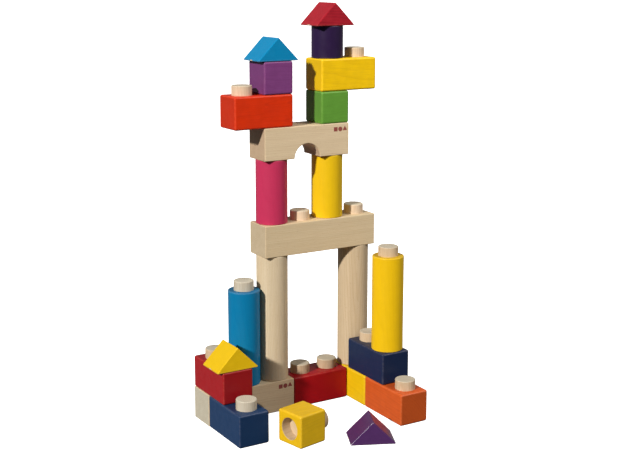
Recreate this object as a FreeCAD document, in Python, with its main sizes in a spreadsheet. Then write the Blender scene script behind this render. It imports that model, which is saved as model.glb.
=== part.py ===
import FreeCAD, Part

import math
import os

import Sketcher
from FreeCAD import Placement, Rotation, Vector

# A castle tower of wooden pegged building blocks, +Z up, in millimetres.
# Every block is a whole number of grid units long and carries one glued-in dowel peg above each of its sockets.
# The origin is at floor level under the middle of the red sill, which lies in the tower's gateway:
# +X runs along the lintel and +Y away from the loose blocks that lie in front.

# ---------------------------------------------------------------- driving dimensions

SIZES = (
    # alias, value, meaning
    ("unit", 40.0, "grid unit: width, depth and height of a cube"),
    ("side_gap", 0.1, "how far a block's sides stand back from the grid"),
    ("painted_round", 2.5, "edge radius of the lacquered bricks and cubes"),
    ("natural_round", 1.0, "edge radius of the bare wood beams and the roofs"),
    ("column_dia", 39.4, "diameter of the turned pillars"),
    ("column_round", 1.2, "rounding of a pillar's end edges"),
    ("arch_radius", 18.0, "radius of the half-round cut-out under an arch"),
    ("peg_dia", 25.0, "diameter of a peg's free end"),
    ("peg_height", 12.0, "height of a peg's free end"),
    ("peg_round", 1.2, "rounding of a peg's tip"),
    ("tenon_dia", 20.0, "diameter of the glued foot of a peg"),
    ("tenon_length", 12.0, "length of the glued foot of a peg"),
    ("tenon_bore_dia", 20.1, "diameter of the bore that holds the foot"),
    ("tenon_bore_depth", 12.5, "depth of the bore that holds the foot"),
    ("socket_dia", 26.4, "diameter of a socket"),
    ("socket_depth", 13.0, "depth of a socket"),
    ("mouth_chamfer", 0.6, "chamfer around the mouth of a socket"),
    ("loose_cube_x", -84.0, "loose cube: place of its centre along X"),
    ("loose_cube_y", -114.0, "loose cube: place of its centre along Y"),
    ("loose_cube_turn", 11.8, "loose cube: direction of its peg, in degrees from +X"),
    ("loose_roof_x", -11.0, "loose roof: place of its centre along X"),
    ("loose_roof_y", -150.5, "loose roof: place of its centre along Y"),
    ("loose_roof_turn", -24.6, "loose roof: direction across its ridge, in degrees from +X"),
)

# ---------------------------------------------------------------- the blocks and their places
# Places are the middle of a block's underside, in grid units. A block that runs along "x" keeps
# its length on X, and one that runs along "y" is given a quarter turn.

BRICKS = (
    # name, units long, runs along, x, y, z
    ("red_sill", 2, "x", 0, 0, 0),
    ("yellow_corner", 2, "y", 1.5, -0.5, 0),
    ("orange_wing", 2, "y", 1.5, -2.5, 0),
    ("navy_wing", 2, "y", -3.5, -1.5, 0),
    ("red_bridge", 2, "y", -3.5, -0.5, 1),
    ("navy_bridge", 2, "y", 1.5, -1.5, 1),
    ("orange_balcony", 2, "x", -2, 0, 9),
    ("green_cube", 1, "x", 0.5, 0, 9),
    ("purple_cube", 1, "x", -1.5, 0, 10),
    ("yellow_balcony", 2, "x", 1, 0, 10),
)

ARCHES = (
    # name, x, y, z
    ("base_arch", -2.5, 0, 0),
    ("top_arch", -0.5, 0, 8),
)

PILLARS = (
    # name, units tall, x, y, z
    ("cyan_pillar", 3, -2.5, 0, 1),
    ("left_column", 4, -1.5, 0, 1),
    ("right_column", 4, 1.5, 0, 1),
    ("yellow_tall_pillar", 3, 1.5, -2, 2),
    ("pink_pillar", 2, -1.5, 0, 6),
    ("yellow_short_pillar", 2, 0.5, 0, 6),
    ("indigo_drum", 1, 0.5, 0, 11),
)

ROOFS = (
    # name, x, y, z
    ("yellow_roof", -3.5, -1, 2),
    ("cyan_roof", -1.5, 0, 11),
    ("red_roof", 0.5, 0, 12),
)

ARCH_LENGTH = 3
LINTEL_LENGTH = 4
LINTEL_PLACE = (0, 0, 5)
TOUCH = 1e-4  # how close a measured place has to be to count as the same
VOLUME_SLIP = 0.01  # how far a cut may be from the volume it should take away

doc = FreeCAD.newDocument("pegged_block_tower")
sheet = doc.addObject("Spreadsheet::Sheet", "Sizes")
for row, (alias, value, meaning) in enumerate(SIZES, start=1):
    sheet.set(f"A{row}", meaning)
    sheet.set(f"B{row}", str(value))
    sheet.setAlias(f"B{row}", alias)
doc.recompute()

bodies = []


# ---------------------------------------------------------------- sketches and features

def new_body(name):
    """An empty body, kept for the export."""
    body = doc.addObject("PartDesign::Body", name)
    body.Label = name
    bodies.append(body)
    return body


def new_sketch(body, name, role, lift=None):
    """A sketch on one of the body's own origin planes, lifted along the plane's normal."""
    sketch = body.newObject("Sketcher::SketchObject", f"{body.Name}_{name}")
    plane = next(item for item in body.Origin.OriginFeatures if item.Role == role)
    sketch.AttachmentSupport = [(plane, "")]
    sketch.MapMode = "FlatFace"
    if lift:
        sketch.setExpression("AttachmentOffset.Base.z", lift)
    return sketch


def dimension(sketch, name, formula, *constraint):
    """A named driving constraint, bound to a formula of the sheet's cells."""
    value = float(sketch.evalExpression(formula))
    index = sketch.addConstraint(Sketcher.Constraint(*constraint, value))
    sketch.renameConstraint(index, name)
    sketch.setExpression(f"Constraints.{name}", formula)


def add_outline(sketch, corners):
    """A closed outline of straight lines, joined end to end and held level or upright."""
    for index, start in enumerate(corners):
        end = corners[(index + 1) % len(corners)]
        sketch.addGeometry(Part.LineSegment(Vector(*start, 0), Vector(*end, 0)), False)
        if abs(start[1] - end[1]) < TOUCH:
            sketch.addConstraint(Sketcher.Constraint("Horizontal", index))
        elif abs(start[0] - end[0]) < TOUCH:
            sketch.addConstraint(Sketcher.Constraint("Vertical", index))
    for index in range(len(corners)):
        after = (index + 1) % len(corners)
        sketch.addConstraint(Sketcher.Constraint("Coincident", index, 2, after, 1))


def centred_rectangle(body, name, length, width):
    """A rectangle about the origin of the body's XY plane."""
    sketch = new_sketch(body, name, "XY_Plane")
    half = sheet.unit / 2
    add_outline(sketch, [(-half, -half), (half, -half), (half, half), (-half, half)])
    sketch.addConstraint(Sketcher.Constraint("Symmetric", 0, 1, 1, 2, -1, 1))
    dimension(sketch, "across", length, "DistanceX", 0, 1, 0, 2)
    dimension(sketch, "along", width, "DistanceY", 1, 1, 1, 2)
    return sketch


def circles(body, name, diameter, stations, lift=None):
    """Equal circles along the X axis of the body's XY plane, at stations in grid units."""
    sketch = new_sketch(body, name, "XY_Plane", lift)
    for index, station in enumerate(stations):
        centre = Vector(station * sheet.unit, 0, 0)
        sketch.addGeometry(Part.Circle(centre, Vector(0, 0, 1), sheet.unit / 4), False)
        if station:
            sketch.addConstraint(Sketcher.Constraint("PointOnObject", index, 3, -1))
            dimension(sketch, f"place{index}", f"{station} * Sizes.unit", "DistanceX", -1, 1, index, 3)
        else:
            sketch.addConstraint(Sketcher.Constraint("Coincident", index, 3, -1, 1))
        dimension(sketch, f"wide{index}", diameter, "Diameter", index)
    return sketch


def pad(body, sketch, height, symmetric=False):
    feature = body.newObject("PartDesign::Pad", f"{body.Name}_pad")
    feature.Profile = sketch
    feature.SideType = "Symmetric" if symmetric else "One side"
    feature.setExpression("Length", height)
    doc.recompute()
    return feature


def pocket(body, name, sketch, depth, removes, upward=False, symmetric=False):
    """A pocket whose removed volume is compared with what it should take away."""
    before = body.Tip.Shape.Volume
    feature = body.newObject("PartDesign::Pocket", f"{body.Name}_{name}")
    feature.Profile = sketch
    feature.SideType = "Symmetric" if symmetric else "One side"
    feature.Reversed = upward
    feature.setExpression("Length", depth)
    doc.recompute()
    taken = before - feature.Shape.Volume
    if abs(taken - removes) > VOLUME_SLIP * removes:
        raise RuntimeError(f"{feature.Name} took {taken:.1f} mm3 away in place of {removes:.1f}")
    return feature


def edges_that(shape, test):
    """The names of a shape's edges that pass a test, without those that have no length."""
    numbered = enumerate(shape.Edges, start=1)
    return [f"Edge{index}" for index, edge in numbered if not edge.Degenerated and test(edge)]


def dress(body, kind, name, size, test):
    """A fillet or chamfer on the edges of the body's last feature that pass a test."""
    base = body.Tip
    edges = edges_that(base.Shape, test)
    if not edges:
        raise RuntimeError(f"{body.Name} has no edge to dress for its {name}")
    feature = body.newObject(f"PartDesign::{kind}", f"{body.Name}_{name}")
    feature.Base = (base, edges)
    feature.setExpression("Radius" if kind == "Fillet" else "Size", size)
    doc.recompute()
    return feature


def is_circle(edge, height, diameter):
    """Whether an edge is a level circle of a given diameter at a given height."""
    curve = edge.Curve
    if not isinstance(curve, Part.Circle):
        return False
    same_height = abs(curve.Center.z - height) < TOUCH
    return same_height and abs(2 * curve.Radius - diameter) < TOUCH


def add_sockets(body, stations):
    """Blind sockets in the underside, one at each station, with a chamfered mouth."""
    cut = math.pi / 4 * sheet.socket_dia**2 * sheet.socket_depth * len(stations)
    sketch = circles(body, "socket_circles", "Sizes.socket_dia", stations)
    pocket(body, "sockets", sketch, "Sizes.socket_depth", cut, upward=True)

    def at_mouth(edge):
        return is_circle(edge, 0, sheet.socket_dia)

    dress(body, "Chamfer", "mouths", "Sizes.mouth_chamfer", at_mouth)


def add_peg_bores(body, stations, height):
    """Bores in the top face that take the glued feet of the pegs."""
    cut = math.pi / 4 * sheet.tenon_bore_dia**2 * sheet.tenon_bore_depth * len(stations)
    sketch = circles(body, "bore_circles", "Sizes.tenon_bore_dia", stations, lift=height)
    pocket(body, "bores", sketch, "Sizes.tenon_bore_depth", cut)


def put(body, x, y, z, turn=0):
    """Places a body on the grid, turned about the vertical."""
    body.Placement = Placement(Vector(0, 0, 0), Rotation(Vector(0, 0, 1), turn))
    for axis, value in (("x", x), ("y", y), ("z", z)):
        body.setExpression(f"Placement.Base.{axis}", f"{value} * Sizes.unit")


# ---------------------------------------------------------------- kinds of piece

def peg(name):
    """A dowel peg: a free end that stands on the block and a thinner foot glued into it."""
    body = new_body(name)
    sketch = new_sketch(body, "profile", "XZ_Plane")
    foot, end = sheet.tenon_dia / 2, sheet.peg_dia / 2
    low, high = -sheet.tenon_length, sheet.peg_height
    add_outline(sketch, [(0, low), (foot, low), (foot, 0), (end, 0), (end, high), (0, high)])
    sketch.addConstraint(Sketcher.Constraint("PointOnObject", 0, 1, -2))
    sketch.addConstraint(Sketcher.Constraint("PointOnObject", 2, 2, -1))
    dimension(sketch, "foot", "Sizes.tenon_dia / 2", "DistanceX", 0, 1, 0, 2)
    dimension(sketch, "length", "Sizes.tenon_length", "DistanceY", 1, 1, 1, 2)
    dimension(sketch, "free", "Sizes.peg_dia / 2", "DistanceX", -1, 1, 3, 1)
    dimension(sketch, "tall", "Sizes.peg_height", "DistanceY", 3, 1, 3, 2)
    turned = body.newObject("PartDesign::Revolution", f"{name}_turned")
    turned.Profile = sketch
    turned.ReferenceAxis = (sketch, ["V_Axis"])
    turned.Angle = 360
    doc.recompute()

    def at_tip(edge):
        return is_circle(edge, sheet.peg_height, sheet.peg_dia)

    dress(body, "Fillet", "tip", "Sizes.peg_round", at_tip)
    return body


def beam_outline(body, units):
    """The plain bar that a brick, an arch or the lintel is cut from."""
    length = f"{units} * Sizes.unit - 2 * Sizes.side_gap"
    width = "Sizes.unit - 2 * Sizes.side_gap"
    sketch = centred_rectangle(body, "outline", length, width)
    pad(body, sketch, "Sizes.unit")


def whole_stations(units):
    """One station in the middle of each grid unit of a bar's length."""
    return [index - (units - 1) / 2 for index in range(units)]


def brick(name, units, edge_round="Sizes.painted_round"):
    """A straight block with a socket and a peg bore in every grid unit of its length."""
    body = new_body(name)
    beam_outline(body, units)
    dress(body, "Fillet", "edges", edge_round, lambda edge: True)
    add_sockets(body, whole_stations(units))
    add_peg_bores(body, whole_stations(units), "Sizes.unit")
    return body


def arch(name):
    """A three-unit bar with a half-round cut-out in its middle and pegs at its ends."""
    body = new_body(name)
    beam_outline(body, ARCH_LENGTH)
    sketch = new_sketch(body, "cut_out_circle", "XZ_Plane")
    sketch.addGeometry(Part.Circle(Vector(0, 0, 0), Vector(0, 0, 1), sheet.unit / 4), False)
    sketch.addConstraint(Sketcher.Constraint("Coincident", 0, 3, -1, 1))
    dimension(sketch, "radius", "Sizes.arch_radius", "Radius", 0)
    thick = sheet.unit - 2 * sheet.side_gap
    half_round = math.pi / 2 * sheet.arch_radius**2 * thick
    pocket(body, "cut_out", sketch, "2 * Sizes.unit", half_round, symmetric=True)
    dress(body, "Fillet", "edges", "Sizes.natural_round", lambda edge: True)
    add_sockets(body, [-1, 1])
    add_peg_bores(body, [-1, 1], "Sizes.unit")
    return body


def pillar(name, units):
    """A turned round block with one socket below and one peg bore above."""
    body = new_body(name)
    sketch = circles(body, "outline", "Sizes.column_dia", [0])
    pad(body, sketch, f"{units} * Sizes.unit")

    def at_ends(edge):
        return isinstance(edge.Curve, Part.Circle)

    dress(body, "Fillet", "edges", "Sizes.column_round", at_ends)
    add_sockets(body, [0])
    add_peg_bores(body, [0], f"{units} * Sizes.unit")
    return body


def roof(name):
    """Half a cube, cut from edge to edge: it lies on its wide face, which holds the socket."""
    body = new_body(name)
    sketch = new_sketch(body, "gable", "XZ_Plane")
    half_wide = sheet.unit / math.sqrt(2)
    add_outline(sketch, [(-half_wide, 0), (half_wide, 0), (0, half_wide)])
    sketch.addConstraint(Sketcher.Constraint("Symmetric", 0, 1, 0, 2, -1, 1))
    sketch.addConstraint(Sketcher.Constraint("Perpendicular", 1, 2))
    sketch.addConstraint(Sketcher.Constraint("Equal", 1, 2))
    dimension(sketch, "wide", "sqrt(2) * Sizes.unit", "DistanceX", 0, 1, 0, 2)
    pad(body, sketch, "Sizes.unit - 2 * Sizes.side_gap", symmetric=True)
    dress(body, "Fillet", "edges", "Sizes.natural_round", lambda edge: True)
    add_sockets(body, [0])
    return body


def add_pegs(block_name, stations, x, y, z, turn=0):
    """The pegs of a block that stands on the grid, numbered along its length."""
    along_x = round(math.cos(math.radians(turn)))
    along_y = round(math.sin(math.radians(turn)))
    for number, station in enumerate(stations, start=1):
        put(peg(f"{block_name}_peg_{number}"), x + station * along_x, y + station * along_y, z, turn)


# ---------------------------------------------------------------- the tower

for name, units, runs_along, x, y, z in BRICKS:
    turn = 90 if runs_along == "y" else 0
    put(brick(name, units), x, y, z, turn)
    add_pegs(name, whole_stations(units), x, y, z + 1, turn)

for name, x, y, z in ARCHES:
    put(arch(name), x, y, z)
    add_pegs(name, [-1, 1], x, y, z + 1)

lintel = brick("lintel", LINTEL_LENGTH, "Sizes.natural_round")
put(lintel, *LINTEL_PLACE)
lintel_x, lintel_y, lintel_z = LINTEL_PLACE
add_pegs("lintel", whole_stations(LINTEL_LENGTH), lintel_x, lintel_y, lintel_z + 1)

for name, units, x, y, z in PILLARS:
    put(pillar(name, units), x, y, z)
    add_pegs(name, [0], x, y, z + units)

for name, x, y, z in ROOFS:
    put(roof(name), x, y, z)

# ---------------------------------------------------------------- the two loose blocks


def lay_on_side(body, distance):
    """Lays a piece of the loose cube down, its underside or peg at a distance from the cube's centre."""
    turn = sheet.loose_cube_turn
    body.Placement = Placement(Vector(0, 0, 0), Rotation(turn, 90, 0))
    body.setExpression("Placement.Base.x", f"Sizes.loose_cube_x + ({distance}) * cos(Sizes.loose_cube_turn)")
    body.setExpression("Placement.Base.y", f"Sizes.loose_cube_y + ({distance}) * sin(Sizes.loose_cube_turn)")
    body.setExpression("Placement.Base.z", "Sizes.unit / 2 - Sizes.side_gap")


lay_on_side(brick("loose_cube", 1), "-Sizes.unit / 2")
lay_on_side(peg("loose_cube_peg_1"), "Sizes.unit / 2")

loose_roof = roof("loose_roof")
loose_roof.Placement = Placement(Vector(0, 0, 0), Rotation(Vector(0, 0, 1), sheet.loose_roof_turn))
loose_roof.setExpression("Placement.Base.x", "Sizes.loose_roof_x")
loose_roof.setExpression("Placement.Base.y", "Sizes.loose_roof_y")

# ---------------------------------------------------------------- checks and export

doc.recompute()
for item in doc.Objects:
    if "Invalid" in item.State or "Error" in item.State:
        raise RuntimeError(f"{item.Name} did not recompute: {item.State}")
    if item.isDerivedFrom("Sketcher::SketchObject") and not item.FullyConstrained:
        raise RuntimeError(f"{item.Name} is not fully constrained")
for body in bodies:
    shape = body.Shape
    if shape.isNull() or not shape.isValid() or len(shape.Solids) != 1:
        raise RuntimeError(f"{body.Label} is not one valid solid")

os.makedirs("parts", exist_ok=True)
for body in bodies:
    body.Shape.exportStep(os.path.join("parts", f"{body.Label}.step"))
print(f"{len(bodies)} pieces written")
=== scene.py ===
import math
import random

import bpy
from mathutils import Euler, Matrix, Vector


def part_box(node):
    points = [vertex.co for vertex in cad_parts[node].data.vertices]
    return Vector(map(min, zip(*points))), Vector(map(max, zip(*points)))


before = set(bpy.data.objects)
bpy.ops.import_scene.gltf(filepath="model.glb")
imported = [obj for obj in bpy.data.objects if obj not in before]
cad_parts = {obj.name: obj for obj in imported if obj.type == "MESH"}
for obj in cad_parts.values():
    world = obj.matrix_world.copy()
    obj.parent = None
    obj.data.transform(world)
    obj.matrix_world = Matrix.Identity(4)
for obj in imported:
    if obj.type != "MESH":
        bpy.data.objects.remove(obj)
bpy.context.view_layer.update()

# ---------------------------------------------------------------- what each block is made of
# A lacquer is (colour, how strongly the grain shows through it). Colours are linear.

LACQUERS = {
    "red_sill": ((0.375, 0.005, 0.009), 0.7),
    "red_bridge": ((0.345, 0.008, 0.012), 0.8),
    "red_roof": ((0.440, 0.014, 0.027), 2.2),
    "yellow_corner": ((0.760, 0.470, 0.005), 0.8),
    "yellow_roof": ((0.750, 0.480, 0.005), 0.7),
    "yellow_tall_pillar": ((0.775, 0.475, 0.005), 0.4),
    "yellow_short_pillar": ((0.780, 0.490, 0.007), 0.4),
    "yellow_balcony": ((0.960, 0.600, 0.004), 1.2),
    "loose_cube": ((0.750, 0.460, 0.009), 0.9),
    "orange_wing": ((0.600, 0.096, 0.015), 1.2),
    "orange_balcony": ((0.720, 0.034, 0.003), 1.3),
    "navy_wing": ((0.011, 0.039, 0.108), 0.8),
    "navy_bridge": ((0.010, 0.021, 0.063), 0.8),
    "cyan_pillar": ((0.002, 0.172, 0.360), 0.4),
    "cyan_roof": ((0.002, 0.235, 0.470), 0.6),
    "pink_pillar": ((0.510, 0.032, 0.095), 0.4),
    "green_cube": ((0.125, 0.330, 0.040), 1.0),
    "purple_cube": ((0.210, 0.052, 0.195), 1.2),
    "indigo_drum": ((0.024, 0.010, 0.048), 1.0),
    "loose_roof": ((0.075, 0.024, 0.110), 0.8),
}

# The weight of the clear coat, and the blocks whose coat differs from it
CLEAR_COAT = 0.07
CLEAR_COATS = {"loose_roof": 0.6}

# The blocks whose lacquer is no darker on the end grain
EVEN_ENDS = ("loose_cube",)

# The bare wood blocks: (the light wood, its end grain as a share of that, ring width in
# millimetres, where the pith lies across the grain in millimetres)
END_GRAIN = (0.77, 0.78, 0.80)
BARE = {
    "base_arch": ((0.690, 0.540, 0.345), (0.72, 0.85, 1.04), 1.9, (90.0, 145.0)),
    "top_arch": ((0.715, 0.560, 0.360), (0.66, 0.62, 0.63), 2.0, (-60.0, 150.0)),
    "lintel": ((0.640, 0.505, 0.315), (0.78, 0.80, 0.85), 1.7, (75.0, 130.0)),
    "left_column": ((0.600, 0.490, 0.330), END_GRAIN, 1.8, (120.0, -80.0)),
    "right_column": ((0.540, 0.420, 0.270), END_GRAIN, 3.2, (-6.0, -26.0)),
}

# Peg woods: (side, tip), and the pegs that don't have the plain one
PEG_WOODS = {
    "plain": ((0.580, 0.440, 0.285), (0.490, 0.430, 0.330)),
    "dark": ((0.500, 0.370, 0.240), (0.510, 0.445, 0.335)),
    "grey": ((0.520, 0.465, 0.365), (0.540, 0.495, 0.395)),
    "light": ((0.710, 0.550, 0.385), (0.580, 0.500, 0.370)),
}
PEG_KINDS = {
    "dark": ("red_sill",),
    "grey": ("navy_wing", "cyan_pillar"),
    "light": ("orange_balcony", "yellow_balcony", "lintel"),
}

# The wood inside the sockets of lacquered blocks, and the ink of the printed motif
RAW_WOOD = (0.600, 0.460, 0.300)
INK = (0.235, 0.012, 0.022)

# Words in the names of the blocks whose grain stands upright, and the blocks with the motif
UPRIGHT = ("pillar", "column", "drum")
PRINTED = ("base_arch", "top_arch")

# Sizes of the CAD's blocks, in millimetres, and the turns of the two loose ones about Z
UNIT = 40.0
SOCKET_RADIUS = 13.2
SOCKET_DEPTH = 13.0
PEG_HEIGHT = 12.0
CUBE_HALF = (19.9, 19.9, 19.9)
LOOSE_ROOF_HALF = (26.85, 19.9)
LOOSE_TURNS = {"loose_cube": math.radians(11.8), "loose_roof": math.radians(-24.6)}

# How far the pith is from a peg's axis, in millimetres
PEG_PITH = 34.0

# Rings that the grain crosses per millimetre along it, since a trunk tapers
RUN_OUT = -0.014

# The motif, in millimetres: how far its middle is below the top edge, how far its first shape is
# from the right-hand edge, the step between shapes, and the reach of each shape from its middle
MARK_DROP = 7.4
MARK_START = 19.4
MARK_STEP = 6.7
MARK_REACH = {"square": 2.75, "disc": 3.0, "triangle": 1.95}

MM = 0.001


# ---------------------------------------------------------------- small node helpers

class Tree:
    """A node tree with short ways to add and join nodes."""

    def __init__(self, tree):
        self.tree = tree

    def add(self, kind, **settings):
        node = self.tree.nodes.new(kind)
        for key, value in settings.items():
            setattr(node, key, value)
        return node

    def feed(self, socket, value):
        if isinstance(value, bpy.types.NodeSocket):
            self.tree.links.new(value, socket)
        elif value is not None:
            socket.default_value = value

    def math(self, operation, a, b=None, c=None, clamp=False):
        node = self.add("ShaderNodeMath", operation=operation, use_clamp=clamp)
        for socket, value in zip(node.inputs, (a, b, c)):
            self.feed(socket, value)
        return node.outputs[0]

    def vector(self, operation, a, b=None, scale=None):
        node = self.add("ShaderNodeVectorMath", operation=operation)
        self.feed(node.inputs[0], a)
        self.feed(node.inputs[1], b)
        if scale is not None:
            self.feed(node.inputs["Scale"], scale)
        name = "Value" if operation in ("LENGTH", "DOT_PRODUCT", "DISTANCE") else "Vector"
        return node.outputs[name]

    def split(self, vector):
        node = self.add("ShaderNodeSeparateXYZ")
        self.feed(node.inputs[0], vector)
        return node.outputs

    def join(self, x, y, z):
        node = self.add("ShaderNodeCombineXYZ")
        for socket, value in zip(node.inputs, (x, y, z)):
            self.feed(socket, value)
        return node.outputs[0]

    def noise(self, vector, scale=1.0, detail=2.0, roughness=0.5):
        node = self.add("ShaderNodeTexNoise", noise_dimensions="3D")
        self.feed(node.inputs["Vector"], vector)
        node.inputs["Scale"].default_value = scale
        node.inputs["Detail"].default_value = detail
        node.inputs["Roughness"].default_value = roughness
        return node.outputs

    def remap(self, value, low, high, to_low=0.0, to_high=1.0, smooth=True):
        kind = "SMOOTHSTEP" if smooth else "LINEAR"
        node = self.add("ShaderNodeMapRange", interpolation_type=kind, clamp=True)
        for socket, number in zip(node.inputs, (value, low, high, to_low, to_high)):
            self.feed(socket, number)
        return node.outputs[0]

    def mix(self, factor, a, b, blend="MIX"):
        node = self.add("ShaderNodeMix", data_type="RGBA", blend_type=blend)
        self.feed(node.inputs["Factor"], factor)
        self.feed(node.inputs[6], a if isinstance(a, bpy.types.NodeSocket) else (*a, 1.0))
        self.feed(node.inputs[7], b if isinstance(b, bpy.types.NodeSocket) else (*b, 1.0))
        return node.outputs[2]

    def grey(self, value):
        node = self.add("ShaderNodeCombineColor")
        for socket in node.inputs:
            self.feed(socket, value)
        return node.outputs[0]


def new_group(name, inputs, outputs):
    """A shader node group and its Tree, with plain float or vector sockets."""
    group = bpy.data.node_groups.new(name, "ShaderNodeTree")
    for label, kind in inputs:
        group.interface.new_socket(label, in_out="INPUT", socket_type=kind)
    for label, kind in outputs:
        group.interface.new_socket(label, in_out="OUTPUT", socket_type=kind)
    tree = Tree(group)
    start = tree.add("NodeGroupInput")
    end = tree.add("NodeGroupOutput")
    return group, tree, start.outputs, end.inputs


# ---------------------------------------------------------------- wood grain

def make_grain_group():
    """Close-grained wood in millimetres, with the grain along X and the pith off to one side."""
    number, vector = "NodeSocketFloat", "NodeSocketVector"
    inputs = (("Place", vector), ("Pith", vector), ("Ring Width", number), ("Seed", number))
    outputs = (("Rings", number), ("Bands", number), ("Fibres", number), ("Flecks", number))
    group, tree, given, made = new_group("close_grain", inputs, outputs)
    away = tree.join(tree.math("MULTIPLY", given["Seed"], 53.7), given["Seed"], given["Seed"])
    place = tree.vector("ADD", given["Place"], away)

    slow = tree.vector("MULTIPLY", place, (0.012, 0.035, 0.035))
    wander = tree.vector("SUBTRACT", tree.noise(slow, detail=2.0)["Color"], (0.5, 0.5, 0.5))
    wander = tree.vector("MULTIPLY", wander, (0.0, 7.0, 7.0))
    bent = tree.vector("ADD", given["Place"], wander)
    across = tree.vector("MULTIPLY", tree.vector("SUBTRACT", bent, given["Pith"]), (0.0, 1.0, 1.0))
    distance = tree.vector("LENGTH", across)
    uneven = tree.noise(tree.vector("MULTIPLY", place, (0.003, 0.10, 0.10)), detail=1.0)["Fac"]
    turns = tree.math("DIVIDE", distance, given["Ring Width"])
    turns = tree.math("ADD", turns, tree.math("MULTIPLY", uneven, 1.6))
    run_out = tree.math("MULTIPLY", tree.split(given["Place"])[0], RUN_OUT)
    turns = tree.math("ADD", turns, run_out)
    year = tree.math("FRACT", turns)
    late = tree.math("POWER", year, 3.0)
    fade = tree.remap(year, 0.90, 1.0, 1.0, 0.0)
    late = tree.math("MULTIPLY", late, fade)
    number_of_year = tree.math("FLOOR", turns)
    lot = tree.add("ShaderNodeTexWhiteNoise", noise_dimensions="1D")
    tree.feed(lot.inputs["W"], tree.math("ADD", number_of_year, given["Seed"]))
    strength = tree.remap(lot.outputs["Value"], 0.0, 1.0, 0.35, 1.25, smooth=False)
    tree.feed(made["Rings"], tree.math("MULTIPLY", late, strength))

    bands = tree.noise(tree.vector("MULTIPLY", place, (0.006, 0.16, 0.16)), detail=2.0)["Fac"]
    tree.feed(made["Bands"], tree.remap(bands, 0.3, 0.7))
    lines = tree.vector("MULTIPLY", place, (0.055, 1.9, 1.9))
    tree.feed(made["Fibres"], tree.noise(lines, detail=4.0, roughness=0.62)["Fac"])
    short = tree.vector("MULTIPLY", place, (0.42, 2.6, 2.6))
    tree.feed(made["Flecks"], tree.remap(tree.noise(short, detail=1.0)["Fac"], 0.66, 0.74))
    return group


GRAIN = make_grain_group()


def grain(tree, place, pith, ring_width, seed):
    """The four outputs of the grain group at a place in millimetres."""
    node = tree.add("ShaderNodeGroup", node_tree=GRAIN)
    tree.feed(node.inputs["Place"], place)
    tree.feed(node.inputs["Pith"], pith)
    tree.feed(node.inputs["Ring Width"], ring_width)
    tree.feed(node.inputs["Seed"], seed)
    return node.outputs


def wood_colour(tree, light, parts, figure=1.0):
    """Bare wood: light early wood, warmer late wood, broad bands, fine fibres and dark flecks."""
    warm = tuple(channel * share for channel, share in zip(light, (0.80, 0.68, 0.56)))
    pale = tuple(min(channel * share, 0.85) for channel, share in zip(light, (1.07, 1.08, 1.10)))
    dark = tuple(channel * share for channel, share in zip(light, (0.55, 0.42, 0.32)))
    colour = tree.mix(parts["Bands"], light, pale)
    colour = tree.mix(tree.math("MULTIPLY", parts["Rings"], 0.62 * figure, clamp=True), colour, warm)
    fine = tree.remap(parts["Fibres"], 0.38, 0.72, 0.0, 0.30 * figure)
    colour = tree.mix(fine, colour, warm)
    return tree.mix(tree.math("MULTIPLY", parts["Flecks"], 0.45), colour, dark)


def relief(tree, parts, depth):
    """A bump of the grain's own height, in metres."""
    height = tree.math("MULTIPLY", parts["Fibres"], 0.6)
    height = tree.math("MULTIPLY_ADD", parts["Rings"], 0.25, height)
    height = tree.math("MULTIPLY_ADD", parts["Flecks"], -0.8, height)
    node = tree.add("ShaderNodeBump")
    node.inputs["Strength"].default_value = 1.0
    node.inputs["Distance"].default_value = depth
    tree.feed(node.inputs["Height"], height)
    return node.outputs[0]


# ---------------------------------------------------------------- places on a block

def local_place(tree, centre, turn):
    """Where a point is from a block's centre, along its own axes, in millimetres."""
    source = tree.add("ShaderNodeTexCoord").outputs["Object"]
    mapping = tree.add("ShaderNodeMapping", vector_type="TEXTURE")
    tree.feed(mapping.inputs["Vector"], source)
    mapping.inputs["Location"].default_value = centre
    mapping.inputs["Rotation"].default_value = turn
    mapping.inputs["Scale"].default_value = (MM, MM, MM)
    return mapping.outputs[0]


def along_up(tree, place):
    """The same place with the block's upright as its first axis."""
    x, y, z = tree.split(place)
    return tree.join(z, x, y)


def socket_mask(tree, place, half, units):
    """1 on the walls and floor of the sockets in a block's underside."""
    x, y, z = tree.split(place)
    shift = 0.0 if units % 2 else UNIT / 2
    folded = tree.math("WRAP", tree.math("ADD", x, shift), UNIT / 2, -UNIT / 2)
    reach = tree.vector("LENGTH", tree.join(folded, y, 0.0))
    inside = tree.remap(reach, SOCKET_RADIUS + 0.15, SOCKET_RADIUS + 0.4, 1.0, 0.0)
    top = SOCKET_DEPTH - half[2]
    low = tree.remap(z, top + 0.2, top + 0.6, 1.0, 0.0)
    return tree.math("MULTIPLY", inside, low)


def edge_mask(tree, place, half, round_block):
    """1 on the rounded edges of a block, fading over the first millimetres of its faces."""
    near = tree.vector("SUBTRACT", tuple(half), tree.vector("ABSOLUTE", place))
    x, y, z = tree.split(near)
    if round_block:
        px, py = tree.split(place)[:2]
        side = tree.math("SUBTRACT", half[0], tree.vector("LENGTH", tree.join(px, py, 0.0)))
        second = tree.math("MAXIMUM", side, z)
    else:
        pairs = (tree.math("MAXIMUM", x, y), tree.math("MAXIMUM", y, z), tree.math("MAXIMUM", x, z))
        second = tree.math("MINIMUM", tree.math("MINIMUM", pairs[0], pairs[1]), pairs[2])
    return tree.remap(second, 0.2, 2.6, 1.0, 0.0)


def end_mask(tree, along):
    """1 on the faces that cut across the grain, whose direction is given in the row's frame."""
    facing = tree.vector("DOT_PRODUCT", tree.add("ShaderNodeTexCoord").outputs["Normal"], tuple(along))
    return tree.remap(tree.math("ABSOLUTE", facing), 0.74, 0.97)


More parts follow.
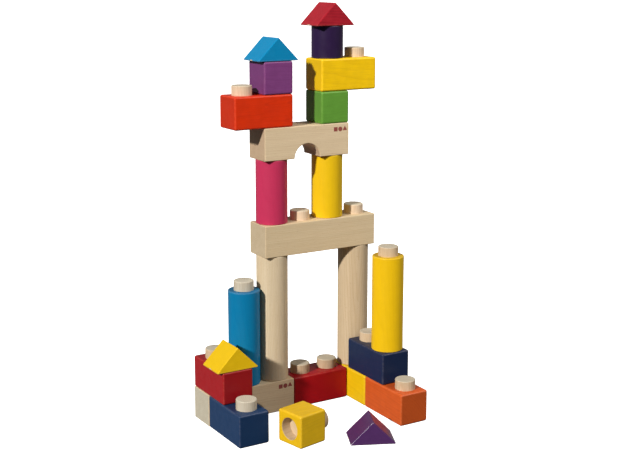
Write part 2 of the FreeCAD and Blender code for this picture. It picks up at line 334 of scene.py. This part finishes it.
def half_plane(tree, x, z, angle, offset):
    """How far a point is inside a line, given the line's outward direction."""
    out = tree.math("MULTIPLY", x, math.cos(angle))
    out = tree.math("MULTIPLY_ADD", z, math.sin(angle), out)
    return tree.math("SUBTRACT", offset, out)


def printed_mark(tree, place, half):
    """A plain printed motif of a square, a disc and a triangle near a beam's upper right corner."""
    x, y, z = tree.split(place)
    z = tree.math("SUBTRACT", z, half[2] - MARK_DROP)
    shapes = []
    for index, (kind, size) in enumerate(MARK_REACH.items()):
        at = tree.math("SUBTRACT", x, half[0] - MARK_START + MARK_STEP * index)
        if kind == "square":
            away = tree.math("MAXIMUM", tree.math("ABSOLUTE", at), tree.math("ABSOLUTE", z))
            shapes.append(tree.math("SUBTRACT", size, away))
        elif kind == "disc":
            reach = tree.vector("LENGTH", tree.join(at, 0.0, z))
            shapes.append(tree.math("SUBTRACT", size, reach))
        else:
            sides = [half_plane(tree, at, z, math.radians(a), size) for a in (-90, 30, 150)]
            shapes.append(tree.math("MINIMUM", tree.math("MINIMUM", sides[0], sides[1]), sides[2]))
    inside = tree.math("MAXIMUM", tree.math("MAXIMUM", shapes[0], shapes[1]), shapes[2])
    ink = tree.remap(inside, -0.08, 0.12)
    front = tree.remap(y, -half[1] + 0.3, -half[1] + 0.6, 1.0, 0.0)
    return tree.math("MULTIPLY", ink, front)


# ---------------------------------------------------------------- materials

def new_material(name):
    material = bpy.data.materials.new(name)
    material.use_nodes = True
    tree = Tree(material.node_tree)
    shader = next(node for node in material.node_tree.nodes if node.type == "BSDF_PRINCIPLED")
    return material, tree, shader


def lacquered(name, colour, show, place, grain_place, along, half, units, round_block, seed):
    """Coloured lacquer over grain, bare inside the sockets, and lighter on the edges, partly from thin
    lacquer and partly as a painted highlight.
    """
    material, tree, shader = new_material(f"{name}_lacquer")
    draw = random.Random(seed)
    pith = (0.0, draw.uniform(50.0, 110.0), draw.uniform(-90.0, 90.0))
    grain_at = grain_place(tree, place(tree))
    at = place(tree)
    parts = grain(tree, grain_at, pith, draw.uniform(2.4, 3.4), seed * 0.37)
    depth = max(1.0, show)
    deep = tuple(channel * share ** depth for channel, share in zip(colour, (0.80, 0.72, 0.78)))
    thin_lacquer_and_highlight = tuple(channel * 0.86 + tone * 0.14 for channel, tone in zip(colour, RAW_WOOD))
    lines = tree.math("MULTIPLY", parts["Rings"], 0.42 * show, clamp=True)
    paint = tree.mix(lines, colour, deep)
    fine = tree.remap(parts["Fibres"], 0.35, 0.75, 0.0, 0.34 * show)
    paint = tree.mix(fine, paint, deep)
    cloud = tree.noise(at, scale=0.09, detail=3.0)["Fac"]
    brush = tree.remap(cloud, 0.3, 0.7, 1.0 - 0.035 * show, 1.0 + 0.025 * show)
    paint = tree.mix(1.0, paint, tree.grey(brush), blend="MULTIPLY")
    if name not in EVEN_ENDS:
        dull = tree.mix(1.0, paint, END_GRAIN, blend="MULTIPLY")
        paint = tree.mix(end_mask(tree, along), paint, dull)
    # The rounded edges are lightened towards bare wood: partly thin lacquer, partly a painted highlight
    # where the edges catch the light.
    edge = edge_mask(tree, at, half, round_block)
    patchy = tree.remap(tree.noise(at, scale=0.35)["Fac"], 0.35, 0.65, 0.15, 0.55)
    wear_and_highlight = tree.math("MULTIPLY", edge, patchy)
    paint = tree.mix(wear_and_highlight, paint, thin_lacquer_and_highlight)
    bare = socket_mask(tree, at, half, units)
    colour_out = tree.mix(bare, paint, wood_colour(tree, RAW_WOOD, parts))
    tree.feed(shader.inputs["Base Color"], colour_out)
    smooth = tree.remap(tree.noise(at, scale=0.12, detail=3.0)["Fac"], 0.3, 0.7, 0.36, 0.46)
    rough = tree.math("MULTIPLY_ADD", bare, 0.25, smooth)
    tree.feed(shader.inputs["Roughness"], rough)
    shader.inputs["Specular IOR Level"].default_value = 0.16
    shader.inputs["Coat Weight"].default_value = CLEAR_COATS.get(name, CLEAR_COAT)
    shader.inputs["Coat Roughness"].default_value = 0.2
    shader.inputs["Coat IOR"].default_value = 1.46
    tree.feed(shader.inputs["Normal"], relief(tree, parts, 0.00003))
    return material


def bare_wood(name, place, grain_place, along, half, seed):
    """Sanded bare wood, with a print on the beams that carry one."""
    light, end_grain, ring_width, pith = BARE[name]
    material, tree, shader = new_material(f"{name}_wood")
    at = place(tree)
    parts = grain(tree, grain_place(tree, at), (0.0, *pith), ring_width, seed * 0.37)
    colour = wood_colour(tree, light, parts)
    colour = tree.mix(end_mask(tree, along), colour, tree.mix(1.0, colour, end_grain, blend="MULTIPLY"))
    if name in PRINTED:
        ink = printed_mark(tree, at, half)
        ink = tree.math("MULTIPLY", ink, tree.remap(parts["Fibres"], 0.3, 0.7, 0.96, 0.80))
        colour = tree.mix(ink, colour, INK)
    tree.feed(shader.inputs["Base Color"], colour)
    tree.feed(shader.inputs["Roughness"], tree.remap(parts["Fibres"], 0.3, 0.7, 0.50, 0.62))
    shader.inputs["Specular IOR Level"].default_value = 0.22
    tree.feed(shader.inputs["Normal"], relief(tree, parts, 0.00005))
    return material


def grid_cell(tree):
    """Which grid unit a point is in, and where it is from that unit's middle, in millimetres."""
    source = tree.add("ShaderNodeTexCoord").outputs["Object"]
    place = tree.vector("SCALE", source, scale=1.0 / MM)
    x, y, z = tree.split(place)
    column = tree.math("FLOOR", tree.math("DIVIDE", x, UNIT))
    row = tree.math("ROUND", tree.math("DIVIDE", y, UNIT))
    level = tree.math("ROUND", tree.math("DIVIDE", z, UNIT))
    middle_x = tree.math("MULTIPLY", tree.math("ADD", column, 0.5), UNIT)
    from_x = tree.math("SUBTRACT", x, middle_x)
    from_y = tree.math("SUBTRACT", y, tree.math("MULTIPLY", row, UNIT))
    from_z = tree.math("SUBTRACT", z, tree.math("MULTIPLY", level, UNIT))
    return tree.join(column, row, level), tree.join(from_z, from_x, from_y)


def peg_wood(kind, name, cell_and_place):
    """A dowel of bare wood, each with a grain of its own, and end grain on its tip."""
    side, end = PEG_WOODS[kind]
    material, tree, shader = new_material(name)
    cell, place = cell_and_place(tree)
    lot = tree.add("ShaderNodeTexWhiteNoise", noise_dimensions="3D")
    tree.feed(lot.inputs["Vector"], tree.vector("ADD", cell, (0.5, 0.5, 0.5)))
    angle = tree.math("MULTIPLY", lot.outputs["Value"], 2 * math.pi)
    pith_y = tree.math("MULTIPLY", tree.math("COSINE", angle), PEG_PITH)
    pith_z = tree.math("MULTIPLY", tree.math("SINE", angle), PEG_PITH)
    seed = tree.math("MULTIPLY", lot.outputs["Value"], 61.0)
    parts = grain(tree, place, tree.join(0.0, pith_y, pith_z), 2.3, seed)
    tone = tree.remap(lot.outputs["Value"], 0.0, 1.0, 0.95, 1.04, smooth=False)
    colour = wood_colour(tree, side, parts, figure=1.1)
    colour = tree.mix(1.0, colour, tree.grey(tone), blend="MULTIPLY")
    x = tree.split(place)[0]
    tip = tree.remap(x, PEG_HEIGHT - 1.2, PEG_HEIGHT - 0.1)
    late = tuple(channel * share for channel, share in zip(end, (0.78, 0.72, 0.66)))
    cut = tree.mix(parts["Rings"], tuple(channel * 1.06 for channel in end), late)
    colour = tree.mix(tip, colour, cut)
    tree.feed(shader.inputs["Base Color"], colour)
    tree.feed(shader.inputs["Roughness"], tree.remap(parts["Fibres"], 0.3, 0.7, 0.52, 0.66))
    shader.inputs["Specular IOR Level"].default_value = 0.22
    tree.feed(shader.inputs["Normal"], relief(tree, parts, 0.00005))
    return material


# ---------------------------------------------------------------- dressing the blocks

def is_upright(name):
    return any(word in name for word in UPRIGHT)


def block_frame(name):
    """A block's centre in metres, its turn, its half sizes in millimetres and its length in units."""
    low, high = (Vector(corner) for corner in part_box(name))
    centre = (low + high) / 2
    size = (high - low) / MM
    if name == "loose_cube":
        return centre, (0.0, math.pi / 2, LOOSE_TURNS[name]), CUBE_HALF, 1
    if name == "loose_roof":
        return centre, (0.0, 0.0, LOOSE_TURNS[name]), (*LOOSE_ROOF_HALF, size.z / 2), 1
    turned = size.y > size.x + 1.0 and not name.endswith("_roof")
    turn = (0.0, 0.0, math.pi / 2 if turned else 0.0)
    half = (size.y / 2, size.x / 2, size.z / 2) if turned else tuple(size / 2)
    units = 1 if is_upright(name) or name.endswith("_roof") else round(half[0] / (UNIT / 2))
    return centre, turn, half, units


def dress_block(name, seed):
    """Gives a block its material, in its own frame."""
    centre, turn, half, units = block_frame(name)

    def place(tree):
        return local_place(tree, centre, turn)

    def grain_place(tree, at):
        return along_up(tree, at) if is_upright(name) or name == "loose_cube" else at

    first = (0.0, 0.0, 1.0) if is_upright(name) else (1.0, 0.0, 0.0)
    along = Euler(turn).to_matrix() @ Vector(first)
    if name in BARE:
        material = bare_wood(name, place, grain_place, along, half, seed)
    else:
        colour, show = LACQUERS[name]
        material = lacquered(
            name, colour, show, place, grain_place, along, half, units, is_upright(name), seed
        )
    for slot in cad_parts[name].material_slots:
        slot.material = material


def loose_peg_place(tree):
    """The loose cube's peg points sideways, so its place is taken along the cube's own axes."""
    low, high = (Vector(corner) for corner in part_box("loose_cube"))
    place = local_place(tree, (low + high) / 2, (0.0, math.pi / 2, LOOSE_TURNS["loose_cube"]))
    x, y, z = tree.split(place)
    return (7.0, 3.0, 1.0), tree.join(tree.math("SUBTRACT", z, UNIT / 2), x, y)


def dress_all():
    """Every block and every peg gets its material."""
    for seed, name in enumerate([*BARE, *LACQUERS], start=1):
        dress_block(name, seed)
    woods = {kind: peg_wood(kind, f"peg_wood_{kind}", grid_cell) for kind in PEG_WOODS}
    lying = peg_wood("plain", "peg_wood_lying", loose_peg_place)
    for name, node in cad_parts.items():
        if "_peg_" not in name:
            continue
        block = name.split("_peg_")[0]
        kind = next((kind for kind, blocks in PEG_KINDS.items() if block in blocks), "plain")
        for slot in node.material_slots:
            slot.material = lying if block == "loose_cube" else woods[kind]


dress_all()

# ---------------------------------------------------------------- stage, light and camera

AZIMUTH, ELEVATION = math.radians(-30.898), math.radians(10.523)
ORIGIN_IN_VIEW = Vector((0.005359, -0.275526, -1.530651))
FOCAL_WIDTHS = 1.904690
SHIFT_Y = -0.07

KEY_FROM = (-0.82, -0.33, 0.47)
KEY_STRENGTH = 4.0
KEY_WIDTH = math.radians(3.0)
FILL_PLACE = (1.316, -1.526, 1.893)
FILL_AIM = (0.0, 0.0, 0.25)
FILL_SIZE = (1.4, 1.2)
FILL_WATTS = 39.0
ROOM_BRIGHTER_TOWARDS = (0.45, 0.86, 0.1)
ROOM_STRENGTHS = (0.09, 0.26)


def make_camera():
    """A camera that looks at the tower from its left front corner, a little from above."""
    back = Vector((
        math.sin(AZIMUTH) * math.cos(ELEVATION),
        -math.cos(AZIMUTH) * math.cos(ELEVATION),
        math.sin(ELEVATION),
    ))
    right = Vector((0.0, 0.0, 1.0)).cross(back).normalized()
    up = back.cross(right)
    turn = Matrix((right, up, back))
    data = bpy.data.cameras.new("view")
    data.sensor_width = 36.0
    data.lens = 36.0 * FOCAL_WIDTHS
    data.shift_y = SHIFT_Y
    data.clip_end = 300.0
    camera = bpy.data.objects.new("view", data)
    inverse = turn.transposed()
    camera.matrix_world = Matrix.Translation(-(inverse @ ORIGIN_IN_VIEW)) @ inverse.to_4x4()
    bpy.context.collection.objects.link(camera)
    bpy.context.scene.camera = camera


def make_stage():
    """A white floor that shines evenly and whose edge sweeps up far away, all round."""
    rings, spokes, reach = [], 96, 60.0
    for step in range(13):
        angle = math.radians(7.5 * step)
        rings.append((reach + reach * math.sin(angle), reach - reach * math.cos(angle)))
    points = [(0.0, 0.0, 0.0)]
    for radius, height in rings:
        for spoke in range(spokes):
            turn = 2 * math.pi * spoke / spokes
            points.append((radius * math.cos(turn), radius * math.sin(turn), height))
    faces = [(0, 1 + spoke, 1 + (spoke + 1) % spokes) for spoke in range(spokes)]
    for ring in range(len(rings) - 1):
        first = 1 + ring * spokes
        for spoke in range(spokes):
            after = (spoke + 1) % spokes
            faces.append((first + spoke, first + spokes + spoke, first + spokes + after, first + after))
    mesh = bpy.data.meshes.new("floor")
    mesh.from_pydata(points, [], faces)
    for polygon in mesh.polygons:
        polygon.use_smooth = True
    floor = bpy.data.objects.new("floor", mesh)
    floor.location.z = -0.0002
    bpy.context.collection.objects.link(floor)
    material, _, shader = new_material("floor_white")
    shader.inputs["Base Color"].default_value = (0.9, 0.9, 0.9, 1.0)
    shader.inputs["Roughness"].default_value = 0.9
    shader.inputs["Emission Color"].default_value = (1.0, 1.0, 1.0, 1.0)
    shader.inputs["Emission Strength"].default_value = 1.0
    mesh.materials.append(material)
    floor.visible_diffuse = False
    floor.visible_glossy = False


def area_light(name, place, aim, size, power):
    data = bpy.data.lights.new(name, "AREA")
    data.shape = "RECTANGLE"
    data.size, data.size_y = size
    data.energy = power
    light = bpy.data.objects.new(name, data)
    light.location = place
    away = Vector(place) - Vector(aim)
    light.rotation_euler = away.to_track_quat("Z", "Y").to_euler()
    bpy.context.collection.objects.link(light)


def make_lights():
    """A sun from the left, a large fill light high on the right front, and a dim room."""
    data = bpy.data.lights.new("key", "SUN")
    data.energy = KEY_STRENGTH
    data.angle = KEY_WIDTH
    data.color = (1.0, 0.98, 0.95)
    key = bpy.data.objects.new("key", data)
    key.rotation_euler = Vector(KEY_FROM).to_track_quat("Z", "Y").to_euler()
    bpy.context.collection.objects.link(key)
    area_light("fill", FILL_PLACE, FILL_AIM, FILL_SIZE, FILL_WATTS)
    world = bpy.data.worlds.new("room")
    world.use_nodes = True
    tree = Tree(world.node_tree)
    ground = next(node for node in world.node_tree.nodes if node.type == "BACKGROUND")
    direction = tree.add("ShaderNodeTexCoord").outputs["Generated"]
    behind = tree.vector("DOT_PRODUCT", direction, ROOM_BRIGHTER_TOWARDS)
    tree.feed(ground.inputs["Strength"], tree.remap(behind, -0.1, 0.7, *ROOM_STRENGTHS))
    ground.inputs["Color"].default_value = (1.0, 1.0, 1.0, 1.0)
    bpy.context.scene.world = world


make_camera()
make_stage()
make_lights()
bpy.context.scene.view_settings.view_transform = "Standard"
